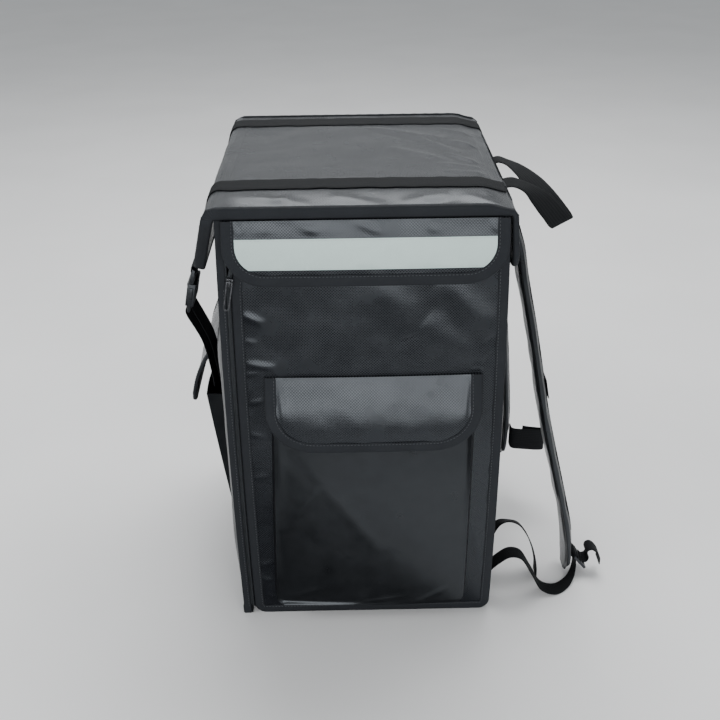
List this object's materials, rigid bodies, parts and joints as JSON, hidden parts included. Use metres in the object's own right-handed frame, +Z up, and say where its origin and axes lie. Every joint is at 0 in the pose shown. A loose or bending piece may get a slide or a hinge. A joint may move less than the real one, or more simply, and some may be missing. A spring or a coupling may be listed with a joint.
{
  "type": "backpack cooler",
  "caption": "Box-shaped insulated delivery backpack with a zipped front door, buckled saddle lid, flapped front and side pockets, shoulder straps and a top grab handle.",
  "frame": {"origin": "middle of the flat base, on the ground", "axes": "+Z up, -Y out of the door, +X out of the wearing side"},
  "size_m": [0.5924, 0.4546, 0.6113],
  "materials": {
    "coated_cloth": "embossed glossy coated cloth",
    "smooth_cloth": "smooth satin coated cloth over foam board",
    "ribbon": "matt woven ribbon",
    "webbing": "matt ribbed webbing",
    "reflective": "grey reflective tape",
    "buckle_plastic": "moulded satin plastic",
    "zip_nylon": "nylon coil and tape",
    "zip_metal": "dark painted metal"
  },
  "bodies": {
    "pack": {"body_shell": "smooth_cloth", "base_panel": "smooth_cloth", "base_binding": "ribbon", "front_edge_binding": "ribbon", "door_panel": "coated_cloth", "door_binding": "ribbon", "zip_tape": "zip_nylon", "zip_coil": "zip_nylon", "zip_slider": "zip_metal", "lid": "coated_cloth", "lid_binding": "ribbon", "top_webbing_front": "webbing", "top_webbing_rear": "webbing", "front_flap": "coated_cloth", "front_flap_binding": "ribbon", "reflective_strip": "reflective", "pocket_body": "smooth_cloth", "pocket_flap": "coated_cloth", "pocket_flap_binding": "ribbon", "side_pocket": "smooth_cloth", "side_pocket_flap": "coated_cloth", "side_flap_binding": "ribbon", "buckle_male_front": "buckle_plastic", "buckle_male_rear": "buckle_plastic", "buckle_female_front": "buckle_plastic", "buckle_female_rear": "buckle_plastic", "buckle_strap_front": "webbing", "buckle_strap_rear": "webbing", "shoulder_strap_near": "smooth_cloth", "shoulder_strap_far": "smooth_cloth", "strap_webbing_near": "webbing", "strap_webbing_far": "webbing", "strap_anchor_near": "coated_cloth", "strap_anchor_far": "coated_cloth", "strap_keeper_near": "webbing", "ladder_lock_near": "buckle_plastic", "strap_tab_near": "webbing", "webbing_tail_near": "webbing", "chest_tab_far": "webbing", "lower_webbing_near": "webbing", "lower_webbing_far": "webbing", "grab_handle": "webbing", "handle_base": "webbing"},
    "zip_pull": {"zip_pull": "zip_metal"}
  },
  "joints": [
    {"name": "zip_pull_swing", "type": "hinge", "parent": "pack", "child": "zip_pull", "pos_m": [-0.16109, -0.21938, 0.51764], "axis": [-0.9848, 0, 0.1736], "range_deg": [0, 90]}
  ]
}
